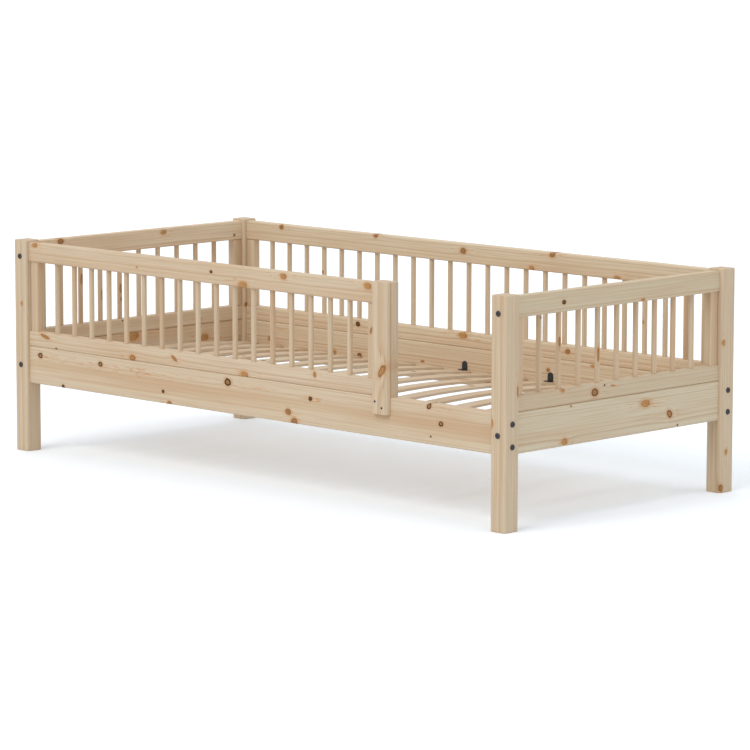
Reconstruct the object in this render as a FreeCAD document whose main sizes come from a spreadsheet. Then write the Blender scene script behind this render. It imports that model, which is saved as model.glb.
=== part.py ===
import FreeCAD, Part
import Sketcher
import os

# Toddler floor bed in solid pine. Millimetres, +X from the head end to the foot end,
# +Y from the open front to the back, +Z up. The origin is under the middle of the bed, on the floor.

Vector = FreeCAD.Vector
Rotation = FreeCAD.Rotation
Placement = FreeCAD.Placement

# name, value in mm (or a count), what it is
size_table = (
    ("length", 2100, "outside length over the posts"),
    ("width", 1000, "outside width over the posts"),
    ("height", 668, "top of the posts above the floor"),
    ("post", 58, "side of a square post"),
    ("post_arris", 8, "rounding of a post's long edges"),
    ("post_end_arris", 3, "rounding round a post's two ends"),
    ("board_low", 217, "underside of the side and end boards above the floor"),
    ("board_high", 118, "depth of the side and end boards"),
    ("board_thick", 34, "thickness of the boards and of the guard rails"),
    ("low_rail_high", 47, "depth of a guard's bottom rail"),
    ("spindle_clear", 219, "clear height between a guard's two rails"),
    ("top_rail_high", 61, "depth of a guard's top rail"),
    ("arris", 5, "rounding of the long edges of boards and rails"),
    ("stile_wide", 34, "width of a guard's stile along the guard"),
    ("stile_thick", 28, "thickness of a stile, flush with the rails inside"),
    ("stile_arris", 3, "rounding of a stile's long edges"),
    ("spindle", 16, "diameter of a round spindle"),
    ("spindle_tenon", 14, "depth that a spindle enters a rail"),
    ("spindle_play", 0.4, "bore of a spindle, over its diameter"),
    ("end_spindles", 9, "spindles in each end guard"),
    ("back_spindles", 23, "spindles in the back guard"),
    ("half_guard_long", 1520, "length of the half guard's rails"),
    ("upright_wide", 64, "width of the half guard's end upright"),
    ("lap_thick", 18, "part of the upright that laps over the side board"),
    ("lap_down", 49, "how far the lap reaches below the board's top"),
    ("upright_round", 15, "rounding of the upright's two front edges"),
    ("upright_arris", 4, "rounding of the upright's two inner edges"),
    ("slat_count", 17, "bowed slats"),
    ("slat_end_offset", 40, "end board's inner face to the first slat's middle"),
    ("slat_wide", 52, "width of a slat"),
    ("slat_thick", 8, "thickness of a slat"),
    ("slat_arris", 1.5, "rounding of a slat's long edges"),
    ("slat_crown", 25, "rise of a slat's middle over its ends"),
    ("slat_side_gap", 4, "slat's end to the side board"),
    ("ledge_wide", 22, "width of the ledge under the slats' ends"),
    ("ledge_high", 30, "depth of the ledge"),
    ("ledge_top", 254, "top of the ledge above the floor"),
    ("ledge_arris", 2, "rounding of a ledge's long edges"),
    ("ledge_end_gap", 6, "ledge's end to the post"),
    ("seat_gap", 0.3, "clearance between a curved piece and its seat"),
    ("bracket_wide", 22, "width of a slat bracket"),
    ("bracket_high", 28, "height of a slat bracket's wall leg"),
    ("bracket_reach", 20, "length of a slat bracket's leg over the slat"),
    ("bracket_plate", 2, "plate of a slat bracket"),
    ("bracket_step", 3, "slats from one bracket to the next"),
    ("side_brackets", 3, "slat brackets on each side board"),
    ("strap_wide", 20, "width of the webbing under the slats"),
    ("strap_thick", 1, "thickness of the webbing"),
    ("strap_inset", 60, "slat's end to the middle of the webbing"),
    ("bolt", 6, "shank of a connector bolt"),
    ("bolt_bore", 7, "bore for a connector bolt"),
    ("bolt_line", 57, "bolts' middle line above a board's underside"),
    ("side_bolt_pitch", 64.5, "between the two bolts of a side board's end"),
    ("rail_bolt_up", 16, "end rail's bolt above the rail's underside"),
    ("head", 17, "diameter of a connector bolt's head"),
    ("head_high", 3, "height of a connector bolt's head"),
    ("head_round", 2, "rounding of the head's outer edge"),
    ("hex_key", 4, "across flats of the bolt's socket"),
    ("hex_deep", 2, "depth of the bolt's socket"),
    ("nut", 10, "diameter of a barrel nut"),
    ("nut_long", 20, "length of a barrel nut"),
    ("nut_slot", 1.5, "width and depth of the slot in a barrel nut's end"),
    ("nut_inset", 32, "board's end to the barrel nut's middle"),
    ("nut_play", 0.6, "bore of a barrel nut or its thread, over the piece in it"),
    ("bolt_past_nut", 8, "bolt's tip past the barrel nut's middle"),
    ("peg", 8, "diameter of a wooden locating peg"),
    ("peg_long", 30, "length of a locating peg"),
    ("stile_peg_long", 20, "length of the pegs at a stile's two ends"),
    ("peg_chamfer", 1, "chamfer round a peg's ends"),
    ("peg_play", 0.4, "peg's bore, over its diameter and at each end"),
    ("board_peg_pitch", 70, "between the two pegs of an end board's end"),
    ("rail_peg_pitch", 30, "between the two pegs of a long top rail's end"),
    ("rail_peg_up", 44, "end rail's peg above the rail's underside"),
    ("long_rail_pegs", 5, "pegs between a long bottom rail and its board"),
    ("end_rail_pegs", 3, "pegs between an end bottom rail and its board"),
    ("screw", 4, "shank of a wood screw"),
    ("screw_head", 7, "diameter of a wood screw's head"),
    ("screw_tip", 0.8, "diameter of a wood screw's blunt point"),
    ("screw_play", 0.6, "bore and countersink of a wood screw, over its shank and head"),
    ("recess", 1, "width and depth of a screw's crossed recess"),
    ("lap_screw_long", 40, "screw that holds the upright's lap"),
    ("lap_screw_side", 13.5, "lap screw from the upright's middle"),
    ("lap_screw_first", 13, "upper lap screw below the board's top"),
    ("lap_screw_drop", 17, "lower lap screw below the upper one"),
    ("ledge_screws", 6, "screws in each ledge"),
    ("ledge_screw_long", 40, "screw that holds a ledge"),
    ("bracket_screw_long", 18, "screw that holds a slat bracket"),
)

doc = FreeCAD.newDocument("toddler_floor_bed")
sheet = doc.addObject("Spreadsheet::Sheet", "Sizes")
for row, (alias, number, meaning) in enumerate(size_table, 1):
    sheet.set(f"A{row}", meaning)
    sheet.set(f"B{row}", str(number))
    sheet.setAlias(f"B{row}", alias)
doc.recompute()

sub_parts = []
seats = {}  # kind of fastener: the bores that hold it


def size(alias):
    """The number that the sheet holds under this name."""
    return float(getattr(sheet, alias))


# ---- places that several pieces share, as expressions on the sheet ----

inset = "(Sizes.post - Sizes.board_thick)/2"
inner_face = f"({inset} + Sizes.board_thick)"
board_mid = "(Sizes.board_low + Sizes.board_high/2)"
board_top = "(Sizes.board_low + Sizes.board_high)"
low_rail_mid = f"({board_top} + Sizes.low_rail_high/2)"
stile_low = f"({board_top} + Sizes.low_rail_high)"
stile_mid = f"({stile_low} + Sizes.spindle_clear/2)"
top_rail_low = f"({stile_low} + Sizes.spindle_clear)"
top_rail_mid = f"({top_rail_low} + Sizes.top_rail_high/2)"
ledge_mid = "(Sizes.ledge_top - Sizes.ledge_high/2)"

# the upright stands further out than the bolt heads at the back, so the middle lies off the posts' middle
mid_y = f"(Sizes.lap_thick - {inset} - Sizes.head_high)/2"
post_x = "(Sizes.length - Sizes.post)/2"
post_y = "(Sizes.width - Sizes.post)/2"
side_long = "(Sizes.length - 2*Sizes.post)"
end_long = "(Sizes.width - 2*Sizes.post)"
stile_in = "(Sizes.board_thick - Sizes.stile_thick)/2"
half_mid_x = "(Sizes.post + Sizes.half_guard_long/2 - Sizes.length/2)"
upright_x = "(Sizes.post + Sizes.half_guard_long + Sizes.upright_wide/2 - Sizes.length/2)"

end_bolt_z = "(Sizes.board_low + Sizes.bolt_line)"
rail_bolt_z = f"({top_rail_low} + Sizes.rail_bolt_up)"
side_bolts_z = [f"({end_bolt_z} {sign} Sizes.side_bolt_pitch/2)" for sign in "-+"]
end_pegs_z = [f"({end_bolt_z} {sign} Sizes.board_peg_pitch/2)" for sign in "-+"]
rail_peg_z = f"({top_rail_low} + Sizes.rail_peg_up)"
top_pegs_z = [f"({top_rail_mid} {sign} Sizes.rail_peg_pitch/2)" for sign in "-+"]
lap_screw_z = f"({board_top} - Sizes.lap_screw_first)"
lap_screws = [
    (f"({upright_x} - Sizes.lap_screw_side)", lap_screw_z),
    (f"({upright_x} + Sizes.lap_screw_side)", f"({lap_screw_z} - Sizes.lap_screw_drop)"),
]

spindle_bore = "Sizes.spindle + Sizes.spindle_play"
tenon_deep = "Sizes.spindle_tenon + Sizes.peg_play"
peg_bore = "Sizes.peg + Sizes.peg_play"
peg_deep = "Sizes.peg_long/2 + Sizes.peg_play"
stile_peg_deep = "Sizes.stile_peg_long/2 + Sizes.peg_play"
bolt_deep = "Sizes.nut_inset + Sizes.bolt_past_nut + Sizes.peg_play"
nut_bore = "Sizes.nut + Sizes.nut_play"
nut_deep = "(Sizes.board_thick + Sizes.nut_long)/2"
screw_bore = "Sizes.screw + Sizes.screw_play"
side_peg_pitch = f"({side_long}/Sizes.long_rail_pegs)"
half_peg_pitch = "(Sizes.half_guard_long/Sizes.long_rail_pegs)"
end_peg_pitch = f"({end_long}/Sizes.end_rail_pegs)"


def spindle_pitch(rail_long, count):
    """Pitch that leaves equal gaps between two stiles."""
    clear = f"({rail_long} - 2*Sizes.stile_wide)"
    return f"(({clear} - {count}*Sizes.spindle)/({count} + 1) + Sizes.spindle)"


end_pitch = spindle_pitch(end_long, "Sizes.end_spindles")
back_pitch = spindle_pitch(side_long, "Sizes.back_spindles")
half_spindles = f"floor((Sizes.half_guard_long - 2*Sizes.stile_wide - Sizes.spindle)/{back_pitch})"


slat_long = f"(Sizes.width - 2*{inner_face} - 2*Sizes.slat_side_gap)"
slat_low = "(Sizes.ledge_top + Sizes.seat_gap)"
slat_radius = f"(Sizes.slat_crown/2 + {slat_long}^2/(8*Sizes.slat_crown))"
slat_pitch = f"((Sizes.length - 2*{inner_face} - 2*Sizes.slat_end_offset)/(Sizes.slat_count - 1))"


def slat_under(y):
    """Height of the slats' underside at a distance from the bed's middle line."""
    return f"({slat_low} + Sizes.slat_crown - {slat_radius} + sqrt({slat_radius}^2 - ({y})^2))"


bracket_tip_y = f"({slat_long}/2 + Sizes.slat_side_gap - Sizes.bracket_reach)"
bracket_low = f"({slat_under(bracket_tip_y)} + Sizes.slat_thick + Sizes.seat_gap)"
bracket_screw_z = f"({bracket_low} + Sizes.bracket_high - Sizes.bracket_wide/2)"
bracket_pitch = f"(Sizes.bracket_step*{slat_pitch})"
ledge_screw_pitch = f"({side_long}/Sizes.ledge_screws)"


# ---- building blocks ----

directions = {"X": Vector(1, 0, 0), "Y": Vector(0, 1, 0), "Z": Vector(0, 0, 1)}
section_plane = {"X": "YZ_Plane", "Y": "XZ_Plane", "Z": "XY_Plane"}
way = {-1: "-", 1: "+"}


def signed(sign, expression):
    """The expression, or its negative where sign is -1."""
    return f"-({expression})" if sign < 0 else expression


def turned(into):
    """Turns +Z to a direction such as "-Y", and keeps +Y upwards where the direction is level."""
    point = directions[into[1]] * (-1 if into[0] == "-" else 1)
    up = directions["Y" if into[1] == "Z" else "Z"]
    return Rotation(up.cross(point), up, point, "ZYX")


def bind_place(item, place):
    """Ties an object's position to three expressions."""
    for axis, expression in zip("xyz", place):
        if expression != "0":
            item.setExpression(f"Placement.Base.{axis}", expression)


def origin_feature(body, role):
    return next(item for item in body.Origin.OriginFeatures if item.Role == role)


def new_body(label, place=("0", "0", "0")):
    body = doc.addObject("PartDesign::Body", label)
    bind_place(body, place)
    return body


def new_sketch(body, plane):
    sketch = body.newObject("Sketcher::SketchObject", body.Name + "_section")
    sketch.AttachmentSupport = (origin_feature(body, plane), [""])
    sketch.MapMode = "FlatFace"
    return sketch


def bind_constraint(sketch, expression, *constraint):
    number = sketch.addConstraint(Sketcher.Constraint(*constraint))
    sketch.setExpression(f"Constraints[{number}]", expression)


def rectangle(body, plane, wide, high):
    """A sketched rectangle about the body's own origin."""
    sketch = new_sketch(body, plane)
    corners = [Vector(-1, -1, 0), Vector(1, -1, 0), Vector(1, 1, 0), Vector(-1, 1, 0)]
    for line in range(4):
        sketch.addGeometry(Part.LineSegment(corners[line], corners[(line + 1) % 4]), False)
    for line in range(4):
        sketch.addConstraint(Sketcher.Constraint("Coincident", line, 2, (line + 1) % 4, 1))
        sketch.addConstraint(Sketcher.Constraint(("Horizontal", "Vertical")[line % 2], line))
    sketch.addConstraint(Sketcher.Constraint("Symmetric", 0, 1, 2, 1, -1, 1))
    bind_constraint(sketch, wide, "DistanceX", 0, 1, 0, 2, 2.0)
    bind_constraint(sketch, high, "DistanceY", 1, 1, 1, 2, 2.0)
    return sketch


def pad_both_ways(body, sketch, length):
    pad = body.newObject("PartDesign::Pad", body.Name + "_pad")
    pad.Profile = sketch
    pad.SideType = "Symmetric"
    pad.setExpression("Length", length)
    doc.recompute()


def primitive(body, kind, place, into="+Z", **sizes):
    """A PartDesign primitive in the body's own frame, with its sizes bound by name."""
    feature = body.newObject("PartDesign::" + kind, f"{body.Name}_{kind}")
    feature.Placement = Placement(Vector(), turned(into))
    bind_place(feature, place)
    for name, expression in sizes.items():
        feature.setExpression(name, expression)
    return feature


def round_edges(body, wanted, radius, kind="Fillet"):
    """Rounds or chamfers the edges of the body's last feature for which wanted(edge) is true."""
    doc.recompute()
    base = body.Tip
    names = [f"Edge{number}" for number, edge in enumerate(base.Shape.Edges, 1) if wanted(edge)]
    feature = body.newObject("PartDesign::" + kind, f"{body.Name}_{kind}")
    feature.Base = (base, names)
    feature.setExpression("Radius" if kind == "Fillet" else "Size", radius)
    doc.recompute()


def runs_along(axis, wanted=lambda middle: True):
    """A test for straight edges along one axis whose middle also passes the test wanted."""
    def test(edge):
        ends = [vertex.Point for vertex in edge.Vertexes]
        if len(ends) < 2 or not wanted(edge.CenterOfMass):
            return False
        return abs((ends[1] - ends[0]).dot(directions[axis])) > 0.999 * edge.Length
    return test


def lies_at(*heights):
    """A test for edges that lie flat at any of these heights."""
    def test(edge):
        box = edge.BoundBox
        return box.ZLength < 0.01 and any(abs(box.ZMin - height) < 0.01 for height in heights)
    return test


def beam(label, axis, long, wide, high, place, arris="Sizes.arris"):
    """A straight piece about its own middle, with its four long edges rounded."""
    body = new_body(label, place)
    pad_both_ways(body, rectangle(body, section_plane[axis], wide, high), long)
    round_edges(body, runs_along(axis), arris)
    sub_parts.append(body)
    return body


def bore(body, mouth, into, across, deep, holds=None):
    """A round hole from the middle of its mouth, noted as a seat if a fastener goes in there."""
    hole = primitive(body, "SubtractiveCylinder", mouth, into, Radius=f"({across})/2", Height=deep)
    if holds:
        seats.setdefault(holds, []).append((body, hole, None))
    return hole


def screw_hole(body, mouth, into, deep, holds=None):
    """A screw's hole with its countersink."""
    countersink = primitive(body, "SubtractiveCone", mouth, into, Height="(Sizes.screw_head - Sizes.screw)/2",
                            Radius1="(Sizes.screw_head + Sizes.screw_play)/2", Radius2=f"({screw_bore})/2")
    return [countersink, bore(body, mouth, into, screw_bore, deep, holds)]


def bore_row(body, mouth, into, across, deep, axis, pitch, count, holds=None):
    """A row of equal holes along an axis, with mouth at the row's middle."""
    place = list(mouth)
    spot = "XYZ".index(axis)
    place[spot] = f"{place[spot]} - {pitch}*({count} - 1)/2"
    first = bore(body, place, into, across, deep)
    repeat(body, [first], axis, pitch, count, holds)


def repeat(body, features, axis, pitch, count, holds=None):
    """Repeats features along an axis, and notes the last of them as a row of seats."""
    doc.recompute()
    row = body.newObject("PartDesign::LinearPattern", body.Name + "_row")
    row.Originals = features
    row.Direction = (origin_feature(body, axis + "_Axis"), [""])
    row.setExpression("Length", f"{pitch}*({count} - 1)")
    row.setExpression("Occurrences", count)
    body.Tip = row
    if holds:
        seats.setdefault(holds, []).append((body, row, directions[axis]))


def seat_places(kind):
    """Where each fastener of a kind goes: the mouth of its bore, with +Z into the bore."""
    places = []
    for body, feature, along in seats[kind]:
        if along is None:
            places.append(body.Placement * feature.Placement)
            continue
        step = along * (feature.Length.Value / (feature.Occurrences - 1))
        for number in range(feature.Occurrences):
            shift = Placement(step * number, Rotation())
            places.append(body.Placement * shift * feature.Originals[-1].Placement)
    return places


def group(label, *pairs):
    """One named node of separate solids: each pattern piece is set in every seat of its kinds."""
    solids = []
    for piece, kind in pairs:
        for place in seat_places(kind):
            solid = piece.Shape.copy()
            solid.Placement = place
            solids.append(solid)
    item = doc.addObject("Part::Feature", label)
    item.Shape = Part.makeCompound(solids)
    sub_parts.append(item)


# ---- posts ----

def make_post(side, end, to_back, to_foot):
    """A square post; to_back is 1 for the two back posts and to_foot is 1 for the two foot posts."""
    place = (signed(to_foot, post_x), f"{signed(to_back, post_y)} + {mid_y}", "Sizes.height/2")
    body = beam(f"post_{side}_{end}", "Z", "Sizes.height", "Sizes.post", "Sizes.post", place,
                "Sizes.post_arris")
    half = size("height") / 2
    round_edges(body, lies_at(-half, half), "Sizes.post_end_arris")

    def across_y(face, up, dia, deep, holds):
        mouth = ("0", signed(face, "Sizes.post/2"), f"{up} - Sizes.height/2")
        bore(body, mouth, way[-face] + "Y", dia, deep, holds)

    def across_x(face, up, dia, deep, holds):
        mouth = (signed(face, "Sizes.post/2"), "0", f"{up} - Sizes.height/2")
        bore(body, mouth, way[-face] + "X", dia, deep, holds)

    for bolt_z in (end_bolt_z, rail_bolt_z):
        across_y(to_back, bolt_z, "Sizes.bolt_bore", "Sizes.post", "bolt")
    for bolt_z in side_bolts_z:
        across_x(to_foot, bolt_z, "Sizes.bolt_bore", "Sizes.post", "bolt")
    for peg_z in (*end_pegs_z, rail_peg_z):
        across_y(-to_back, peg_z, peg_bore, peg_deep, "peg")
    if side == "back" or end == "head":
        for peg_z in (*top_pegs_z, low_rail_mid):
            across_x(-to_foot, peg_z, peg_bore, peg_deep, "peg")


for side, to_back in (("front", -1), ("back", 1)):
    for end, to_foot in (("head", -1), ("foot", 1)):
        make_post(side, end, to_back, to_foot)


# ---- boards between the posts ----

def bolted_end(body, axis, to_end, long, up, to_inside):
    """A bolt's bore in one end of a board or rail, and its barrel nut's bore from the inner face."""
    end = signed(to_end, f"{long}/2")
    nut = signed(to_end, f"{long}/2 - Sizes.nut_inset")
    face = signed(to_inside, "Sizes.board_thick/2")
    inwards = way[-to_inside]
    if axis == "X":
        bore(body, (end, "0", up), way[-to_end] + "X", "Sizes.bolt_bore", bolt_deep)
        bore(body, (nut, face, up), inwards + "Y", nut_bore, nut_deep, "nut")
    else:
        bore(body, ("0", end, up), way[-to_end] + "Y", "Sizes.bolt_bore", bolt_deep)
        bore(body, (face, nut, up), inwards + "X", nut_bore, nut_deep, "nut")


def make_side_board(side, to_back):
    place = ("0", f"{signed(to_back, post_y)} + {mid_y}", board_mid)
    body = beam(f"side_board_{side}", "X", side_long, "Sizes.board_thick", "Sizes.board_high", place)
    outwards = way[to_back] + "Y"
    face = signed(-to_back, "Sizes.board_thick/2")
    for to_end in (-1, 1):
        for bolt_z in side_bolts_z:
            bolted_end(body, "X", to_end, side_long, f"{bolt_z} - {board_mid}", -to_back)
    peg_x, pitch = (half_mid_x, half_peg_pitch) if side == "front" else ("0", side_peg_pitch)
    bore_row(body, (peg_x, "0", "Sizes.board_high/2"), "-Z", peg_bore, peg_deep,
             "X", pitch, "Sizes.long_rail_pegs", "peg")
    bore_row(body, ("0", face, f"{ledge_mid} - {board_mid}"), outwards, screw_bore,
             "Sizes.ledge_screw_long - Sizes.ledge_wide + Sizes.screw_play",
             "X", ledge_screw_pitch, "Sizes.ledge_screws")
    bore_row(body, ("0", face, f"{bracket_screw_z} - {board_mid}"), outwards, screw_bore,
             "Sizes.bracket_screw_long - Sizes.bracket_plate + Sizes.screw_play",
             "X", bracket_pitch, "Sizes.side_brackets", "bracket")
    if side == "front":
        for screw_x, screw_z in lap_screws:
            bore(body, (screw_x, "-Sizes.board_thick/2", f"{screw_z} - {board_mid}"), "+Y", screw_bore,
                 "Sizes.lap_screw_long - Sizes.lap_thick + Sizes.screw_play")


def make_end_board(end, to_foot):
    place = (signed(to_foot, post_x), mid_y, board_mid)
    body = beam(f"end_board_{end}", "Y", end_long, "Sizes.board_thick", "Sizes.board_high", place)
    for to_end in (-1, 1):
        bolted_end(body, "Y", to_end, end_long, f"{end_bolt_z} - {board_mid}", -to_foot)
        for peg_z in end_pegs_z:
            mouth = ("0", signed(to_end, f"{end_long}/2"), f"{peg_z} - {board_mid}")
            bore(body, mouth, way[-to_end] + "Y", peg_bore, peg_deep)
    bore_row(body, ("0", "0", "Sizes.board_high/2"), "-Z", peg_bore, peg_deep,
             "Y", end_peg_pitch, "Sizes.end_rail_pegs", "peg")


for side, to_back in (("front", -1), ("back", 1)):
    make_side_board(side, to_back)
for end, to_foot in (("head", -1), ("foot", 1)):
    make_end_board(end, to_foot)


# ---- guards: two rails, two stiles and a row of spindles ----

def make_guard(name, axis, long, middle, count, pitch, peg_pitch, pegs, to_inside, ends):
    """middle is the guard's middle on the floor, and to_inside points from its line to the mattress."""
    def place(run, off, up):
        shift = (run, off) if axis == "X" else (off, run)
        return (*(f"{start} + {step}" for start, step in zip(middle, shift)), up)

    def spot(run, off, up):
        return (run, off, up) if axis == "X" else (off, run, up)

    thick = "Sizes.board_thick"
    low = beam(f"{name}_bottom_rail", axis, long, thick, "Sizes.low_rail_high", place("0", "0", low_rail_mid))
    top = beam(f"{name}_top_rail", axis, long, thick, "Sizes.top_rail_high", place("0", "0", top_rail_mid))
    off = signed(to_inside, stile_in)
    run = f"({long} - Sizes.stile_wide)/2"
    for rail, mouth_z, into, holds in (
        (low, "Sizes.low_rail_high/2", "-Z", name),
        (top, "-Sizes.top_rail_high/2", "+Z", None),
    ):
        bore_row(rail, spot("0", "0", mouth_z), into, spindle_bore, tenon_deep, axis, pitch, count, holds)
        for sign in (-1, 1):
            bore(rail, spot(signed(sign, run), off, mouth_z), into, peg_bore, stile_peg_deep)
    wide, deep, _ = spot("Sizes.stile_wide", "Sizes.stile_thick", None)
    for tail, sign in zip(ends, (-1, 1)):
        stile = beam(f"{name}_stile_{tail}", "Z", "Sizes.spindle_clear", wide, deep,
                     place(signed(sign, run), off, stile_mid), "Sizes.stile_arris")
        for mouth_z, into in (("-Sizes.spindle_clear/2", "+Z"), ("Sizes.spindle_clear/2", "-Z")):
            bore(stile, ("0", "0", mouth_z), into, peg_bore, stile_peg_deep, "stile_peg")
    bore_row(low, spot("0", "0", "-Sizes.low_rail_high/2"), "+Z", peg_bore, peg_deep, axis, peg_pitch, pegs)
    return low, top


for end, to_foot in (("head", -1), ("foot", 1)):
    middle = (signed(to_foot, post_x), mid_y)
    low, top = make_guard(f"{end}_guard", "Y", end_long, middle, "Sizes.end_spindles", end_pitch,
                          end_peg_pitch, "Sizes.end_rail_pegs", -to_foot, ("front", "back"))
    for to_end in (-1, 1):
        bolted_end(top, "Y", to_end, end_long, f"{rail_bolt_z} - {top_rail_mid}", -to_foot)
        mouth = ("0", signed(to_end, f"{end_long}/2"), f"{rail_peg_z} - {top_rail_mid}")
        bore(top, mouth, way[-to_end] + "Y", peg_bore, peg_deep)

for name, to_back, long, middle_x, count, peg_pitch in (
    ("back_guard", 1, side_long, "0", "Sizes.back_spindles", side_peg_pitch),
    ("half_guard", -1, "Sizes.half_guard_long", half_mid_x, half_spindles, half_peg_pitch),
):
    middle = (middle_x, f"{signed(to_back, post_y)} + {mid_y}")
    low, top = make_guard(name, "X", long, middle, count, back_pitch, peg_pitch,
                          "Sizes.long_rail_pegs", -to_back, ("head", "foot"))
    for to_end in (-1, 1):
        end_x = signed(to_end, f"{long}/2")
        bore(low, (end_x, "0", "0"), way[-to_end] + "X", peg_bore, peg_deep)
        for peg_z in top_pegs_z:
            bore(top, (end_x, "0", f"{peg_z} - {top_rail_mid}"), way[-to_end] + "X", peg_bore, peg_deep)


# ---- the half guard's upright, lapped over the side board ----

def make_upright():
    """Its origin is in the middle of the block that the notch is cut from."""
    deep = "(Sizes.lap_thick + Sizes.board_thick)"
    high = f"(Sizes.height - {board_top} + Sizes.lap_down)"
    mid_z = f"(Sizes.height - {high}/2)"
    place = (upright_x, f"{mid_y} - {post_y} - Sizes.lap_thick/2", mid_z)
    body = new_body("upright", place)
    sub_parts.append(body)
    pad_both_ways(body, rectangle(body, "XY_Plane", "Sizes.upright_wide", deep), high)
    round_edges(body, runs_along("Z", lambda middle: middle.y < 0), "Sizes.upright_round")
    round_edges(body, runs_along("Z", lambda middle: middle.y > size("lap_thick") / 2), "Sizes.upright_arris")
    round_edges(body, lies_at(body.Tip.Shape.BoundBox.ZMax), "Sizes.post_end_arris")
    notch = ("-Sizes.upright_wide/2", f"Sizes.lap_thick - {deep}/2", f"-{high}/2")
    primitive(body, "SubtractiveBox", notch, Length="Sizes.upright_wide",
              Width="Sizes.board_thick", Height="Sizes.lap_down")
    for peg_z in (*top_pegs_z, low_rail_mid):
        mouth = ("-Sizes.upright_wide/2", "Sizes.lap_thick/2", f"{peg_z} - {mid_z}")
        bore(body, mouth, "+X", peg_bore, peg_deep, "peg")
    for screw_x, screw_z in lap_screws:
        mouth = (f"{screw_x} - {upright_x}", f"-{deep}/2", f"{screw_z} - {mid_z}")
        screw_hole(body, mouth, "+Y", "Sizes.lap_thick", "lap_screw")


make_upright()


# ---- slats, their ledges and their webbing ----

def make_slat(number):
    """A bowed slat; its origin is on the chord of its underside."""
    place = (f"{slat_pitch}*({number} - (Sizes.slat_count + 1)/2)", mid_y, slat_low)
    body = new_body(f"slat_{number:02d}", place)
    sub_parts.append(body)
    sketch = new_sketch(body, "YZ_Plane")
    half = size("width") / 2
    rise = Vector(0, size("slat_crown"), 0)
    thick = Vector(0, size("slat_thick"), 0)
    left = Vector(-half, 0, 0)
    right = Vector(half, 0, 0)
    sketch.addGeometry(Part.Arc(right, rise, left), False)
    sketch.addGeometry(Part.LineSegment(left, left + thick), False)
    sketch.addGeometry(Part.Arc(right + thick, rise + thick, left + thick), False)
    sketch.addGeometry(Part.LineSegment(right, right + thick), False)
    for arc, line, arc_end, line_end in ((0, 3, 1, 1), (0, 1, 2, 1), (2, 3, 1, 2), (2, 1, 2, 2)):
        sketch.addConstraint(Sketcher.Constraint("Coincident", arc, arc_end, line, line_end))
    sketch.addConstraint(Sketcher.Constraint("Coincident", 0, 3, 2, 3))
    for line in (1, 3):
        sketch.addConstraint(Sketcher.Constraint("PointOnObject", 0, 3, line))
    sketch.addConstraint(Sketcher.Constraint("Symmetric", 0, 1, 0, 2, -1, 1))
    bind_constraint(sketch, slat_long, "DistanceX", 0, 2, 0, 1, 2 * half)
    bind_constraint(sketch, slat_radius, "Radius", 0, half * half / rise.y)
    bind_constraint(sketch, f"{slat_radius} + Sizes.slat_thick", "Radius", 2, half * half / rise.y)
    pad_both_ways(body, sketch, "Sizes.slat_wide")
    long_edge = 0.9 * body.Shape.BoundBox.YLength
    round_edges(body, lambda edge: edge.Length > long_edge, "Sizes.slat_arris")


def make_ledge(side, to_back):
    """The slats' ledge, screwed to the inner face of a side board."""
    reach = f"(Sizes.width/2 - {inner_face} - Sizes.ledge_wide/2)"
    place = ("0", f"{signed(to_back, reach)} + {mid_y}", ledge_mid)
    body = beam(f"slat_ledge_{side}", "X", f"({side_long} - 2*Sizes.ledge_end_gap)",
                "Sizes.ledge_wide", "Sizes.ledge_high", place, "Sizes.ledge_arris")
    mouth = (f"-{ledge_screw_pitch}*(Sizes.ledge_screws - 1)/2", signed(-to_back, "Sizes.ledge_wide/2"), "0")
    hole = screw_hole(body, mouth, way[to_back] + "Y", "Sizes.ledge_wide")
    repeat(body, hole, "X", ledge_screw_pitch, "Sizes.ledge_screws", "ledge_screw")


def make_strap(side, to_back):
    """Webbing that holds the slats at their pitch, laid along their sloping undersides."""
    off = f"({slat_long}/2 - Sizes.strap_inset)"
    slope = f"asin({off}/{slat_radius})"
    drop = "(Sizes.seat_gap + Sizes.strap_thick/2)"
    place = ("0", f"{signed(to_back, off)} + {mid_y}", f"{slat_under(off)} - {drop}")
    body = new_body(f"slat_strap_{side}", place)
    sub_parts.append(body)
    body.Placement.Rotation = Rotation(Vector(-to_back, 0, 0), 1)
    body.setExpression("Placement.Rotation.Angle", slope)
    long = f"({slat_pitch}*(Sizes.slat_count - 1) + Sizes.slat_wide)"
    pad_both_ways(body, rectangle(body, "YZ_Plane", "Sizes.strap_wide", "Sizes.strap_thick"), long)


for number in range(1, int(size("slat_count")) + 1):
    make_slat(number)
for side, to_back in (("front", -1), ("back", 1)):
    make_ledge(side, to_back)
    make_strap(side, to_back)


# ---- pattern pieces, each with its origin at its seat's mouth and +Z into the seat ----

def make_spindle():
    body = new_body("spindle_pattern")
    primitive(body, "AdditiveCylinder", ("0", "0", "-Sizes.spindle_clear - Sizes.spindle_tenon"),
              Radius="Sizes.spindle/2", Height="Sizes.spindle_clear + 2*Sizes.spindle_tenon")
    return body


def make_peg(label, long):
    body = new_body(label)
    primitive(body, "AdditiveCylinder", ("0", "0", f"-{long}/2"), Radius="Sizes.peg/2", Height=long)
    round_edges(body, lambda edge: edge.BoundBox.ZLength < 0.01, "Sizes.peg_chamfer", "Chamfer")
    return body


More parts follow.
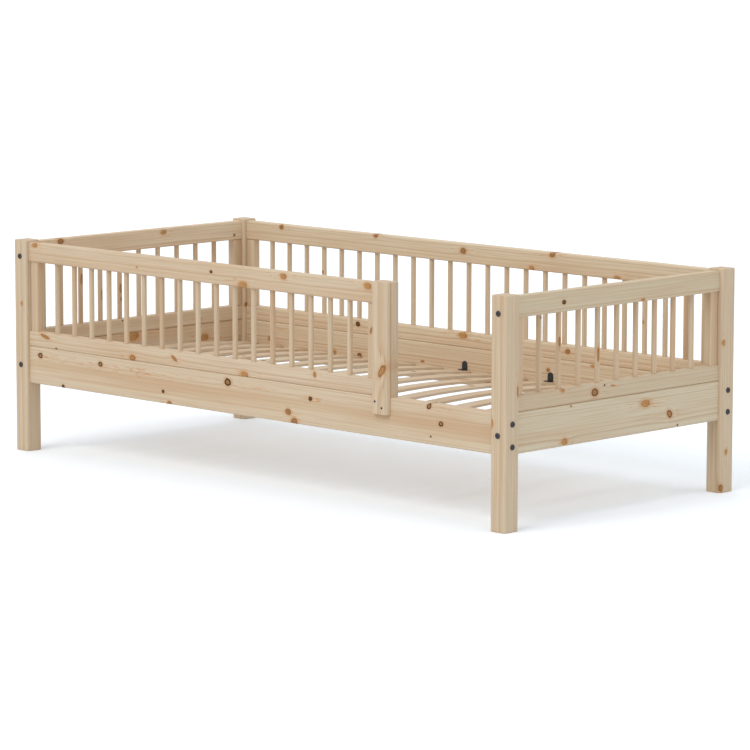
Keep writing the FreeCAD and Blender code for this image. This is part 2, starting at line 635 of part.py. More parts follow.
def make_bolt():
    """A button head with a hexagon socket, and a shank that passes through the barrel nut."""
    body = new_body("connector_bolt_pattern")
    primitive(body, "AdditiveCylinder", ("0", "0", "-Sizes.head_high"), Radius="Sizes.head/2",
              Height="Sizes.head_high")
    round_edges(body, lies_at(-size("head_high")), "Sizes.head_round")
    primitive(body, "AdditiveCylinder", ("0", "0", "0"), Radius="Sizes.bolt/2",
              Height="Sizes.post + Sizes.nut_inset + Sizes.bolt_past_nut")
    primitive(body, "SubtractivePrism", ("0", "0", "-Sizes.head_high"), Circumradius="Sizes.hex_key/sqrt(3)",
              Height="Sizes.hex_deep")
    return body


def make_nut():
    """A barrel nut with its bolt's cross bore, and a slot in the end that shows."""
    body = new_body("barrel_nut_pattern")
    near_end = "(Sizes.board_thick - Sizes.nut_long)/2"
    primitive(body, "AdditiveCylinder", ("0", "0", near_end), Radius="Sizes.nut/2", Height="Sizes.nut_long")
    bore(body, ("-Sizes.nut/2", "0", "Sizes.board_thick/2"), "+X", "Sizes.bolt + Sizes.nut_play", "Sizes.nut")
    primitive(body, "SubtractiveBox", ("-Sizes.nut/2", "-Sizes.nut_slot/2", near_end), Length="Sizes.nut",
              Width="Sizes.nut_slot", Height="Sizes.nut_slot")
    return body


def make_screw(label, long, head_z="0"):
    """A countersunk wood screw with a crossed recess."""
    body = new_body(label)
    taper = "(Sizes.screw_head - Sizes.screw)/2"
    primitive(body, "AdditiveCone", ("0", "0", head_z), Radius1="Sizes.screw_head/2",
              Radius2="Sizes.screw/2", Height=taper)
    shank = f"({long} - {taper})"
    primitive(body, "AdditiveCylinder", ("0", "0", head_z), Radius="Sizes.screw/2", Height=shank)
    primitive(body, "AdditiveCone", ("0", "0", f"{head_z} + {shank}"), Radius1="Sizes.screw/2",
              Radius2="Sizes.screw_tip/2", Height=taper)
    for wide, deep in (("Sizes.screw", "Sizes.recess"), ("Sizes.recess", "Sizes.screw")):
        primitive(body, "SubtractiveBox", (f"-{wide}/2", f"-{deep}/2", head_z), Length=wide,
                  Width=deep, Height="Sizes.recess")
    return body


def make_bracket():
    """A wall leg with a round top about its screw, and a leg over the slat at its foot."""
    body = new_body("slat_bracket_pattern")
    wall_low = "(Sizes.bracket_wide/2 - Sizes.bracket_high)"
    primitive(body, "AdditiveBox", ("-Sizes.bracket_wide/2", wall_low, "-Sizes.bracket_plate"),
              Length="Sizes.bracket_wide", Width=f"-{wall_low}", Height="Sizes.bracket_plate")
    primitive(body, "AdditiveCylinder", ("0", "0", "-Sizes.bracket_plate"), Radius="Sizes.bracket_wide/2",
              Height="Sizes.bracket_plate")
    primitive(body, "AdditiveBox", ("-Sizes.bracket_wide/2", wall_low, "-Sizes.bracket_reach"),
              Length="Sizes.bracket_wide", Width="Sizes.bracket_plate", Height="Sizes.bracket_reach")
    screw_hole(body, ("0", "0", "-Sizes.bracket_plate"), "+Z", "Sizes.bracket_plate")
    return body


spindle = make_spindle()
peg = make_peg("peg_pattern", "Sizes.peg_long")
stile_peg = make_peg("stile_peg_pattern", "Sizes.stile_peg_long")
bolt = make_bolt()
nut = make_nut()
lap_screw = make_screw("lap_screw_pattern", "Sizes.lap_screw_long")
ledge_screw = make_screw("ledge_screw_pattern", "Sizes.ledge_screw_long")
bracket = make_bracket()
bracket_screw = make_screw("bracket_screw_pattern", "Sizes.bracket_screw_long", "-Sizes.bracket_plate")
doc.recompute()

for name in ("head_guard", "foot_guard", "back_guard", "half_guard"):
    group(f"{name}_spindles", (spindle, name))
group("connector_bolts", (bolt, "bolt"))
group("barrel_nuts", (nut, "nut"))
group("locating_pegs", (peg, "peg"), (stile_peg, "stile_peg"))
group("upright_screws", (lap_screw, "lap_screw"))
group("ledge_screws", (ledge_screw, "ledge_screw"))
group("slat_brackets", (bracket, "bracket"))
group("bracket_screws", (bracket_screw, "bracket"))
doc.recompute()


# ---- checks and export ----

for item in doc.Objects:
    if "Invalid" in item.State or "Error" in item.State:
        raise RuntimeError(f"{item.Label}: {item.State}")
for item in sub_parts:
    if item.Shape.isNull() or not item.Shape.isValid():
        raise RuntimeError(f"{item.Label}: its shape is not a valid solid")

os.makedirs("parts", exist_ok=True)
for item in sub_parts:
    item.Shape.exportStep(f"parts/{item.Label}.step")
box = Part.makeCompound([item.Shape for item in sub_parts]).optimalBoundingBox(False)
print(f"{len(sub_parts)} sub-parts, {box.XLength:.1f} x {box.YLength:.1f} x {box.ZLength:.1f} mm")
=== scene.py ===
import math
import bpy
import numpy as np
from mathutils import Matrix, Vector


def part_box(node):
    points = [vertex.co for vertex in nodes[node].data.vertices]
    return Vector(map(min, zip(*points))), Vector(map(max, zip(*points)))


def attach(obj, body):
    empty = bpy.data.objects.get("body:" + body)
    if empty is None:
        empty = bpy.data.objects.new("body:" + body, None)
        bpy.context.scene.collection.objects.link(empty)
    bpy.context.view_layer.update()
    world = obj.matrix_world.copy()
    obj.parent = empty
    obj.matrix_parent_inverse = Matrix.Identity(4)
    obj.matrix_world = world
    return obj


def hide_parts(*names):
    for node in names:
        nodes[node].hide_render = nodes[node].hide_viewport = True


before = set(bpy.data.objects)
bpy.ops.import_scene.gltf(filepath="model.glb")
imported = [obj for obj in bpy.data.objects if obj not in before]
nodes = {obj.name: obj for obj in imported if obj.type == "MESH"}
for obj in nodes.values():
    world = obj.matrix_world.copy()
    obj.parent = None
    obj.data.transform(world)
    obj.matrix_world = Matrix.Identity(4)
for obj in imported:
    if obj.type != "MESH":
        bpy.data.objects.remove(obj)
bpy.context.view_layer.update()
tree = None  # the shader tree that add() works on
print("frame loaded:", len(nodes), "CAD nodes")


def linear(hexColour):
    # an sRGB hex colour as the linear values that Blender works in
    parts = [int(hexColour[i:i + 2], 16) / 255 for i in (1, 3, 5)]
    return [p / 12.92 if p <= 0.04045 else ((p + 0.055) / 1.055) ** 2.4 for p in parts] + [1.0]


def add(kind, inputs=None, **settings):
    # one node in the current tree: its settings, then each input, a socket to link or a value
    node = tree.nodes.new(kind if "Node" in kind else "ShaderNode" + kind)
    for name, value in settings.items():
        setattr(node, name, value)
    for key, value in (inputs or {}).items():
        if isinstance(value, bpy.types.NodeSocket):
            tree.links.new(value, node.inputs[key])
        else:
            node.inputs[key].default_value = value
    return node


def openGroup(name, inputs, outputs):
    # starts a node group with the sockets given as (name, kind) and makes it the current tree
    global tree
    tree = bpy.data.node_groups.new(name, "ShaderNodeTree")
    for side, sockets in (("INPUT", inputs), ("OUTPUT", outputs)):
        for label, kind in sockets:
            tree.interface.new_socket(label, in_out=side, socket_type="NodeSocket" + kind)
    return tree, add("NodeGroupInput").outputs


def openMaterial(name):
    # starts an empty material and makes its shader tree the current one
    global tree
    material = bpy.data.materials.new(name)
    material.use_nodes = True
    tree = material.node_tree
    tree.nodes.clear()
    return material


def finishWith(shader):
    add("OutputMaterial", {"Surface": shader.outputs[0]})


def dress(material, *names):
    # a CAD node keeps its mesh and gets a better material in its own slots
    for name in names:
        for slot in nodes[name].material_slots:
            slot.material = material


def meshPiece(name, points, faces, material, smooth=True):
    # a new piece from whole arrays of points in metres and faces, in the part's own frame
    mesh = bpy.data.meshes.new(name)
    mesh.from_pydata(points.tolist(), [], faces.tolist())
    mesh.update()
    mesh.polygons.foreach_set("use_smooth", np.full(len(faces), smooth))
    piece = bpy.data.objects.new(name, mesh)
    bpy.context.scene.collection.objects.link(piece)
    if material:
        mesh.materials.append(material)
    return piece


def middleOf(node):
    # the middle of a CAD node's box, in mm
    low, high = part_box(node)
    return tuple((low + high) * 500)


# Scots pine, sawn, planed and sanded, left with a thin clear matt lacquer: cream sapwood,
# pinker heartwood in long bands, thin darker latewood lines, and branch knots that turn the
# grain aside.
pineLook = {
    "sapwood": "#DAC8AD",
    "heartwood": "#CFB190",
    "latewood": "#B28A62",
    "fibre": "#C4A37E",
    "resin": "#CB9058",
    "halo": "#C9996A",
    "paleKnot": "#C8975F",
    "brownKnot": "#7A4F2C",
    "darkKnot": "#452A12",
    "paleRim": "#AE7842",
    "barkRim": "#43260A",
    "ringGap": 6.2,       # mm; real rings are 2 to 3 mm apart, drawn wider so that they show
    "unevenRings": 4.0,   # how many rings the count may run ahead or behind
    "ringDepth": 0.05,    # mm of bump
    "relief": 0.35,
    "taper": 0.006,       # how fast the rings close up along the tree
    "wander": 11.0,       # mm that the grain drifts across in a metre or so
    "waver": 3.0,         # mm of smaller waves in it
    "fibreShare": 0.6,
    "endShare": 0.2,      # how much darker the end grain is
    "grainLift": 0.4,     # how far the grain turns aside at a knot, in its radii
    "liftReach": (0.3, 0.48, 0.48),    # along, across and through: less is farther
    "resinReach": (0.22, 0.6, 0.6),
    "resinShare": 0.75,
    "resinPull": 0.12,    # how much closer the strokes stand beside a knot
    "resinWander": 16.0,  # mm
    "haloShare": 0.5,
    "knotEdge": 0.6,      # how uneven a knot's outline is, in its radii
    "knotTurns": 16.0,    # radians of its own rings in a knot's radius
    "knotRings": 0.3,
    "growthSide": 0.4,    # how much browner the side is that the branch grew towards
    # how dark the joint line is: the glue line and painted shade of the groove there
    "glueLineAndGrooveShade": 0.6,
    "roughness": 0.58,
    "lateSheen": -0.06,   # latewood planes smoother
    "refraction": 1.48,
    "sheen": 0.25,
    "rowSpread": 0.15,    # how unlike in heartwood the pieces of one row are
    "rowJump": (4000.0, 60.0, 60.0),   # mm to where in the tree each of them is cut
}
# how often each pattern of the timber comes, in cycles per mm along, across and through it
pineScales = {
    "drift": (0.0011, 0.004, 0.004),
    "waver": (0.006, 0.035, 0.035),
    "blotches": (0.0016, 0.012, 0.012),
    "fibres": (0.0035, 0.3, 0.3),      # real ones are 0.03 mm across, drawn 1.5 to 4 mm across
    "curl": (0.014, 0.02, 0.02),
    "strokes": (0.026, 0.3, 0.3),
    "knotEdge": (0.09, 0.09, 0.09),
    "mottle": (0.06, 0.25, 0.25),
    "uneven": 0.06,                    # this one and the next run across the rings alone
    "broad": 0.045,
}
farOff = 9.0          # in knot radii: nowhere near a knot
goesThrough = 400.0   # mm, so that a knot or a patch reaches through the piece


def wire(group, **values):
    # gives a group's inputs their sockets or values by name
    for key, value in values.items():
        if isinstance(value, bpy.types.NodeSocket):
            tree.links.new(value, group.inputs[key])
        else:
            group.inputs[key].default_value = value


def softSpot(inRadii, stretch):
    # 1 at the middle and fading to 0 outside, drawn out by the stretch: e to the minus d squared
    drawn = add("VectorMath", {0: inRadii, 1: stretch}, operation="MULTIPLY")
    squared = add("VectorMath", {0: drawn.outputs[0], 1: drawn.outputs[0]},
                  operation="DOT_PRODUCT")
    falling = add("Math", {0: squared.outputs["Value"], 1: -1.0}, operation="MULTIPLY")
    return add("Math", {0: falling.outputs[0]}, operation="EXPONENT").outputs[0]


# A knot is a rod of branch wood that may lean along the grain. What is handed on from knot to
# knot: how near the nearest one is, counted in its own radii, how dark its core and its rim are,
# which side of it along the grain a place is on, how far the grain is turned aside, in mm, and
# how resinous the wood is.
carried = ("near", "core", "rim", "side", "lift", "resin")
knotTree, knotIn = openGroup(
    "branchKnot",
    [("place", "Vector"), ("centre", "Vector"), ("radii", "Vector"), ("slant", "Vector"),
     ("coreTone", "Float"), ("rimTone", "Float"), ("stain", "Float")]
    + [(name, "Float") for name in carried],
    [(name, "Float") for name in carried])
offset = add("VectorMath", {0: knotIn["place"], 1: knotIn["centre"]}, operation="SUBTRACT")
leaning = add("VectorMath", {0: offset.outputs[0], 1: knotIn["slant"]}, operation="DOT_PRODUCT")
lean = add("CombineXYZ", {0: leaning.outputs["Value"]})
straight = add("VectorMath", {0: offset.outputs[0], 1: lean.outputs[0]}, operation="SUBTRACT")
inRadii = add("VectorMath", {0: straight.outputs[0], 1: knotIn["radii"]}, operation="DIVIDE")
distance = add("VectorMath", {0: inRadii.outputs[0]}, operation="LENGTH").outputs["Value"]
across = add("SeparateXYZ", {0: knotIn["radii"]}).outputs[1]
onward = add("SeparateXYZ", {0: inRadii.outputs[0]}).outputs[0]
lifted = add("Math", {0: softSpot(inRadii.outputs[0], pineLook["liftReach"]), 1: across},
             operation="MULTIPLY")
liftSum = add("Math", {0: lifted.outputs[0], 1: pineLook["grainLift"], 2: knotIn["lift"]},
              operation="MULTIPLY_ADD")
stain = add("Math", {0: softSpot(inRadii.outputs[0], pineLook["resinReach"]),
                     1: knotIn["stain"]}, operation="MULTIPLY")
stainMost = add("Math", {0: stain.outputs[0], 1: knotIn["resin"]}, operation="MAXIMUM")
nearer = add("Math", {0: distance, 1: knotIn["near"]}, operation="LESS_THAN").outputs[0]
coreNow = add("Mix", {0: nearer, 2: knotIn["core"], 3: knotIn["coreTone"]})
rimNow = add("Mix", {0: nearer, 2: knotIn["rim"], 3: knotIn["rimTone"]})
sideNow = add("Mix", {0: nearer, 2: knotIn["side"], 3: onward})
nearest = add("Math", {0: distance, 1: knotIn["near"]}, operation="MINIMUM")
add("NodeGroupOutput", {0: nearest.outputs[0], 1: coreNow.outputs[0], 2: rimNow.outputs[0],
                        3: sideNow.outputs[0], 4: liftSum.outputs[0], 5: stainMost.outputs[0]})

# a patch of resin-streaked wood, longer than it is wide
patchTree, patchIn = openGroup(
    "resinPatch",
    [("place", "Vector"), ("centre", "Vector"), ("radii", "Vector"), ("stain", "Float"),
     ("resin", "Float")], [("resin", "Float")])
offset = add("VectorMath", {0: patchIn["place"], 1: patchIn["centre"]}, operation="SUBTRACT")
inRadii = add("VectorMath", {0: offset.outputs[0], 1: patchIn["radii"]}, operation="DIVIDE")
stain = add("Math", {0: softSpot(inRadii.outputs[0], (1.0, 1.0, 1.0)), 1: patchIn["stain"]},
            operation="MULTIPLY")
stainMost = add("Math", {0: stain.outputs[0], 1: patchIn["resin"]}, operation="MAXIMUM")
add("NodeGroupOutput", {0: stainMost.outputs[0]})

timberTree, timberIn = openGroup(
    "pineTimber",
    [("place", "Vector"), ("pith", "Vector"), ("seed", "Float"), ("heart", "Float"),
     ("lines", "Float"), ("endGrain", "Float"), ("sapwood", "Color"), ("heartwood", "Color")]
    + [(name, "Float") for name in carried],
    [("colour", "Color"), ("roughness", "Float"), ("height", "Float")])


def noise(vector, pattern, detail=2.0, roughness=0.5):
    # a noise of one of the timber's patterns, moved by the piece's seed
    scaled = add("VectorMath", {0: vector, 1: pineScales[pattern]}, operation="MULTIPLY")
    return add("TexNoise", {"Vector": scaled.outputs[0], "W": timberIn["seed"], "Scale": 1.0,
                            "Detail": detail, "Roughness": roughness}, noise_dimensions="4D")


def between(value, low, high, start=0.0, end=1.0):
    # a smooth step from start to end while value goes from low to high
    return add("MapRange", {"Value": value, "From Min": low, "From Max": high,
                            "To Min": start, "To Max": end},
               interpolation_type="SMOOTHSTEP").outputs[0]


def blended(share, first, second):
    # a colour mix; first and second are sockets or hex colours
    pair = [c if isinstance(c, bpy.types.NodeSocket) else linear(c) for c in (first, second)]
    return add("Mix", {0: share, 6: pair[0], 7: pair[1]}, data_type="RGBA").outputs[2]


def product(first, second):
    return add("Math", {0: first, 1: second}, operation="MULTIPLY").outputs[0]


def strayed(pattern, most):
    # the place in the timber, moved sideways by a noise by up to half of most, in mm
    aside = noise(timberIn["place"], pattern, 1.0)
    centred = add("VectorMath", {0: aside.outputs["Color"], 1: (0.5, 0.5, 0.5)},
                  operation="SUBTRACT")
    return add("VectorMath", {0: centred.outputs[0], 1: (0.0, most, most),
                              2: timberIn["place"]}, operation="MULTIPLY_ADD").outputs[0]


# how far a place is from the pith
drifted = strayed("drift", pineLook["wander"])
fromPith = add("VectorMath", {0: drifted, 1: timberIn["pith"]}, operation="SUBTRACT")
flat = add("VectorMath", {0: fromPith.outputs[0], 1: (pineLook["taper"], 1.0, 1.0)},
           operation="MULTIPLY")
radius = add("VectorMath", {0: flat.outputs[0]}, operation="LENGTH").outputs["Value"]
waver = noise(timberIn["place"], "waver")
wavered = add("Math", {0: waver.outputs[0], 1: pineLook["waver"], 2: radius},
              operation="MULTIPLY_ADD")
bent = add("Math", {0: wavered.outputs[0], 1: timberIn["lift"]}, operation="ADD").outputs[0]
# rings of unlike widths: the count runs on unevenly as the radius grows
uneven = add("TexNoise", {"W": bent, "Scale": pineScales["uneven"], "Detail": 1.0},
             noise_dimensions="1D")
count = product(bent, 1 / pineLook["ringGap"])
counted = add("Math", {0: uneven.outputs[0], 1: pineLook["unevenRings"], 2: count},
              operation="MULTIPLY_ADD").outputs[0]
phase = add("Math", {0: counted}, operation="FRACT").outputs[0]
year = add("Math", {0: counted}, operation="FLOOR").outputs[0]
yearLot = add("TexWhiteNoise", {"W": year}, noise_dimensions="1D").outputs[0]
# latewood comes on slowly from the middle of a year's growth and ends with a sharp edge, darker
# in some years than in others
late = product(between(phase, 0.45, 0.88), between(phase, 0.9, 1.0, 1.0, 0.0))
lateShare = product(late, between(yearLot, 0.1, 0.95, 0.15, 1.0))
# heartwood in broad rings and long blotches
broad = add("TexNoise", {"W": bent, "Scale": pineScales["broad"], "Detail": 2.0},
            noise_dimensions="1D")
blotches = noise(timberIn["place"], "blotches")
heartSum = add("Math", {0: broad.outputs[0], 1: blotches.outputs[0]}, operation="ADD")
heartful = add("Math", {0: heartSum.outputs[0], 1: timberIn["heart"]}, operation="ADD").outputs[0]
ground = blended(between(heartful, 0.75, 1.3), timberIn["sapwood"], timberIn["heartwood"])
fibres = noise(timberIn["place"], "fibres", 3.0, 0.7)
fibreShare = between(fibres.outputs[0], 0.42, 0.72, 0.0, pineLook["fibreShare"])
ringed = blended(product(lateShare, timberIn["lines"]), ground, pineLook["latewood"])
fibred = blended(fibreShare, ringed, pineLook["fibre"])
endShare = product(timberIn["endGrain"], pineLook["endShare"])
ended = blended(endShare, fibred, pineLook["latewood"])
# resin stands in short thin wavy strokes along the grain, closer together near its knot
curled = strayed("curl", pineLook["resinWander"])
strokes = noise(curled, "strokes", 2.0, 0.6).outputs[0]
stroked = add("Math", {0: timberIn["resin"], 1: pineLook["resinPull"], 2: strokes},
              operation="MULTIPLY_ADD").outputs[0]
resinShare = product(between(stroked, 0.6, 0.74, 0.0, pineLook["resinShare"]),
                     between(timberIn["resin"], 0.02, 0.3))
flared = blended(resinShare, ended, pineLook["resin"])
# the knot itself: an uneven edge with a stained halo, a dark outline, rings of its own, a small
# dark heart, and more brown on the side that the branch grew towards
rough = noise(timberIn["place"], "knotEdge")
edge = add("Math", {0: rough.outputs[0], 1: pineLook["knotEdge"], 2: timberIn["near"]},
           operation="MULTIPLY_ADD").outputs[0]
inside = between(edge, 1.18, 1.36, 1.0, 0.0)
haloed = blended(between(edge, 1.2, 2.3, pineLook["haloShare"], 0.0), flared, pineLook["halo"])
outline = product(between(edge, 0.7, 1.02), between(timberIn["rim"], 0.0, 0.6, 0.1, 1.0))
knotWave = add("Math", {0: product(edge, pineLook["knotTurns"])}, operation="SINE").outputs[0]
knotLines = between(knotWave, -1.0, 1.0, 0.0, pineLook["knotRings"])
knotBase = blended(timberIn["core"], pineLook["paleKnot"], pineLook["darkKnot"])
knotRinged = blended(knotLines, knotBase, pineLook["brownKnot"])
mottle = noise(timberIn["place"], "mottle").outputs[0]
mottleShare = product(between(mottle, 0.4, 0.7), between(timberIn["core"], 0.0, 1.0, 0.6, 0.1))
mottled = blended(mottleShare, knotRinged, pineLook["paleRim"])
sideShare = between(timberIn["side"], 0.0, 1.1, 0.0, pineLook["growthSide"])
shaded = blended(sideShare, mottled, pineLook["brownKnot"])
heartShare = product(between(edge, 0.36, 0.6, 1.0, 0.0),
                     between(timberIn["rim"], 0.0, 0.5, 0.2, 0.6))
hearted = blended(heartShare, shaded, pineLook["brownKnot"])
rimBase = blended(timberIn["rim"], pineLook["paleRim"], pineLook["barkRim"])
knotWood = blended(outline, hearted, rimBase)
colour = blended(inside, haloed, knotWood)
dull = add("Math", {0: lateShare, 1: pineLook["lateSheen"], 2: pineLook["roughness"]},
           operation="MULTIPLY_ADD").outputs[0]
relief = add("Math", {0: lateShare, 1: fibreShare}, operation="ADD").outputs[0]
add("NodeGroupOutput", {0: colour, 1: dull, 2: relief})

# which of the part's axes run along the grain, across the wide face and through the piece
lie = {"x": (0, 2, 1), "y": (1, 2, 0), "z": (2, 0, 1)}
# each kind of knot: how dark its core is, how dark its rim, the resin round it, and its length
# over its width
knotKinds = {
    "ring": (0.35, 1.0, 0.35, 1.2),    # a dead branch, with a black line of bark round it
    "dark": (0.9, 1.0, 0.3, 1.2),
    "pin": (0.9, 0.9, 0.15, 1.2),
    "live": (0.3, 0.35, 0.6, 1.3),     # a live branch, grown into the wood
    "pale": (0.0, 0.1, 0.7, 1.5),
    "spike": (0.1, 0.35, 0.6, 1.6),    # a branch sawn along its length
    "worn": (0.25, 0.62, 0.5, 1.2),    # a dead branch whose bark has mostly gone
}


def fromMiddle(spot, middle, grain):
    # a spot in the part's frame as one along, across and through a piece, from its middle
    return [0.0 if spot[a] is None else spot[a] - middle[a] for a in lie[grain]]


def pine(name, grain, middle, pith, seed, knots=(), heart=0.0, sapwood="sapwood",
         heartwood="heartwood", lines=0.4, patches=(), row=None, bands=(), joint=None):
    # One piece's timber, with every length in mm in the part's frame.
    # middle: the piece's centre; pith: where the heart of the tree lay, from that centre, along,
    #   across and through the piece
    # knots: (kind, x, y, z, radius) and perhaps a slant and a stretch; None for an axis that the
    #   knot goes right through
    # heart: more or less heartwood; lines: how strongly the rings show
    # patches: resin streaks, as (x, y, z, half length, half width, strength)
    # row: for like pieces in one node, (axis, first, step), each cut from another place
    # bands: (axis, low, high, soft, change), with more or less heartwood between low and high
    # joint: where two glued boards meet, (axis, place, half of its width), with painted groove
    # shade
    material = openMaterial(name)
    here = add("TexCoord").outputs
    inMm = add("VectorMath", {0: here["Object"], "Scale": 1000.0}, operation="SCALE").outputs[0]
    local = add("VectorMath", {0: inMm, 1: middle}, operation="SUBTRACT").outputs[0]
    xyz = add("SeparateXYZ", {0: local}).outputs
    turned = add("CombineXYZ", {i: xyz[a] for i, a in enumerate(lie[grain])}).outputs[0]
    state = dict.fromkeys(carried, 0.0)
    state["near"] = farOff
    for kind, x, y, z, size, *extra in knots:
        core, rimTone, stained, stretch = knotKinds[kind]
        slant = extra[0] if extra else 0.0
        stretch = extra[1] if len(extra) > 1 else stretch
        spot = (x, y, z)
        radii = [size * stretch] + [goesThrough if spot[a] is None else size
                                    for a in lie[grain][1:]]
        knot = add("Group", node_tree=knotTree)
        wire(knot, place=turned, centre=fromMiddle(spot, middle, grain), radii=radii,
             slant=(0.0, slant, 0.0 if spot[lie[grain][2]] is None else slant),
             coreTone=core, rimTone=rimTone, stain=stained, **state)
        state = {key: knot.outputs[key] for key in carried}
    for x, y, z, length, width, strength in patches:
        patch = add("Group", node_tree=patchTree)
        wire(patch, place=turned, centre=fromMiddle((x, y, z), middle, grain),
             radii=(length, width, goesThrough), stain=strength, resin=state["resin"])
        state["resin"] = patch.outputs[0]
    place, share = turned, heart
    if row:
        axis, first, step = row
        onAxis = add("SeparateXYZ", {0: inMm}).outputs[axis]
        fromFirst = add("Math", {0: onAxis, 1: first}, operation="SUBTRACT").outputs[0]
        index = add("Math", {0: product(fromFirst, 1 / step)}, operation="ROUND").outputs[0]
        centreNow = add("Math", {0: index, 1: step, 2: first}, operation="MULTIPLY_ADD")
        within = add("Math", {0: onAxis, 1: centreNow.outputs[0]},
                     operation="SUBTRACT").outputs[0]
        order = {i: within if a == axis else xyz[a] for i, a in enumerate(lie[grain])}
        folded = add("CombineXYZ", order).outputs[0]
        shuffled = add("Math", {0: index, 1: float(seed)}, operation="ADD").outputs[0]
        lot = add("TexWhiteNoise", {"W": shuffled}, noise_dimensions="1D").outputs
        place = add("VectorMath", {0: lot["Color"], 1: pineLook["rowJump"], 2: folded},
                    operation="MULTIPLY_ADD").outputs[0]
        share = add("MapRange", {"Value": lot["Value"], "To Min": heart - pineLook["rowSpread"],
                                 "To Max": heart + pineLook["rowSpread"]}).outputs[0]
    for axis, low, high, soft, change in bands:
        onAxis = add("SeparateXYZ", {0: inMm}).outputs[axis]
        inBand = product(between(onAxis, low, low + soft),
                         between(onAxis, high - soft, high, 1.0, 0.0))
        share = add("Math", {0: inBand, 1: change, 2: share}, operation="MULTIPLY_ADD").outputs[0]
    facing = add("SeparateXYZ", {0: here["Normal"]}).outputs[lie[grain][0]]
    wood = add("Group", node_tree=timberTree)
    wire(wood, place=place, pith=pith, seed=float(seed), heart=share, lines=lines,
         sapwood=linear(pineLook.get(sapwood, sapwood)),
         heartwood=linear(pineLook.get(heartwood, heartwood)),
         endGrain=product(facing, facing), **state)
    relief = add("Bump", {"Height": wood.outputs["height"], "Strength": pineLook["relief"],
                          "Distance": pineLook["ringDepth"] / 1000})
    colour = wood.outputs["colour"]
    # the joint drawn darker: partly the glue line, partly painted shade of the groove between the
    # boards
    if joint:
        axis, place, half = joint
        off = add("Math", {0: add("SeparateXYZ", {0: inMm}).outputs[axis], 1: place, 2: half},
                  operation="COMPARE").outputs[0]
        colour = blended(product(off, pineLook["glueLineAndGrooveShade"]), colour, pineLook["paleRim"])
    finishWith(add("BsdfPrincipled", {"Base Color": colour,
                                      "Roughness": wood.outputs["roughness"],
                                      "Normal": relief.outputs[0],
                                      "IOR": pineLook["refraction"],
                                      "Specular IOR Level": pineLook["sheen"]}))
    return material


chance = np.random.RandomState(7)


def strewn(node, number, small=3.0, large=10.0, pinMost=4.0):
    # knots for a hidden piece that runs along X: spread along its length, their sizes and kinds
    # by chance, small ones the commonest
    low, high = [np.array(c) * 1000 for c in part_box(node)]
    knots = []
    for i in range(number):
        share = (i + chance.uniform(0.15, 0.85)) / number
        x = low[0] + share * (high[0] - low[0])
        z = low[2] + chance.uniform(0.05, 0.95) * (high[2] - low[2])
        size = small + (large - small) * chance.uniform(0, 1) ** 2
        kind = chance.choice(["ring", "dark", "pin", "live", "live", "pale"])
        radius = min(size, pinMost) if kind == "pin" else size
        knots.append((kind, x, None, z, radius, chance.uniform(-0.4, 0.4)))
    return knots


frontBoardKnots = [
    ("ring", -941, None, 309, 9.5), ("ring", -658, None, 309, 8.5), ("dark", -834, None, 222, 6),
    ("dark", -372, None, 254, 5.5), ("live", -345, None, 220, 8), ("ring", -86, None, 312, 12),
    ("dark", 265, None, 298, 7), ("live", 172, None, 250, 9.5), ("live", 198, None, 224, 11),
    ("ring", 745, None, 327, 9, 0.3, 1.0), ("ring", 791, None, 281, 8), ("pin", 752, None, 241, 3)]
frontBoardPatches = [(-860, None, 305, 90, 14, 0.9), (-540, None, 300, 260, 14, 0.95),
                     (40, None, 306, 140, 8, 0.8), (265, None, 296, 45, 9, 1.4),
                     (785, None, 325, 35, 7, 1.1)]
footBoardKnots = [
    ("live", None, -211, 329, 3), ("pale", None, 114, 303, 11, 0.0, 1.9),
    ("worn", None, 221, 261, 12, -0.3, 1.0), ("pale", None, -238, 231, 10, 0.0, 1.3),
    ("pin", None, 257, 224, 3)]
headBoardKnots = [("pale", None, -40, 325, 17), ("pale", None, 275, 290, 12),
                  ("ring", None, -280, 262, 8), ("pin", None, 90, 245, 3)]
backBoardKnots = [
    ("ring", -466, None, 264, 8), ("pale", -583, None, 266, 7),
    ("live", -185, None, 273, 3.5, 0, 2.4), ("pale", 533, None, 328, 5),
    ("live", 351, None, 298, 6), ("ring", 780, None, 250, 9), ("live", -880, None, 280, 8)]
backBoardPatches = [(-825, None, 316, 50, 8, 0.8)]
dress(pine("planedPineFrontBoard", "x", middleOf("side_board_front"), (0, 85, 45), 1,
           frontBoardKnots, -0.06, lines=0.3, patches=frontBoardPatches,
           bands=((2, 200, 246, 7, -0.5), (2, 243, 294, 9, 0.14), (2, 292, 345, 9, -0.12))),
      "side_board_front")
dress(pine("planedPineBackBoard", "x", middleOf("side_board_back"), (0, 90, -55), 2,
           backBoardKnots, -0.12, lines=0.75, patches=backBoardPatches), "side_board_back")
dress(pine("planedPineFootBoard", "y", middleOf("end_board_foot"), (0, -90, -50), 3,
           footBoardKnots, -0.1, "#D9CCB2", "#D2B797", lines=0.45,
           bands=((2, 262, 360, 24, -0.5),)), "end_board_foot")
dress(pine("planedPineHeadBoard", "y", middleOf("end_board_head"), (0, 85, 45), 4,
           headBoardKnots), "end_board_head")

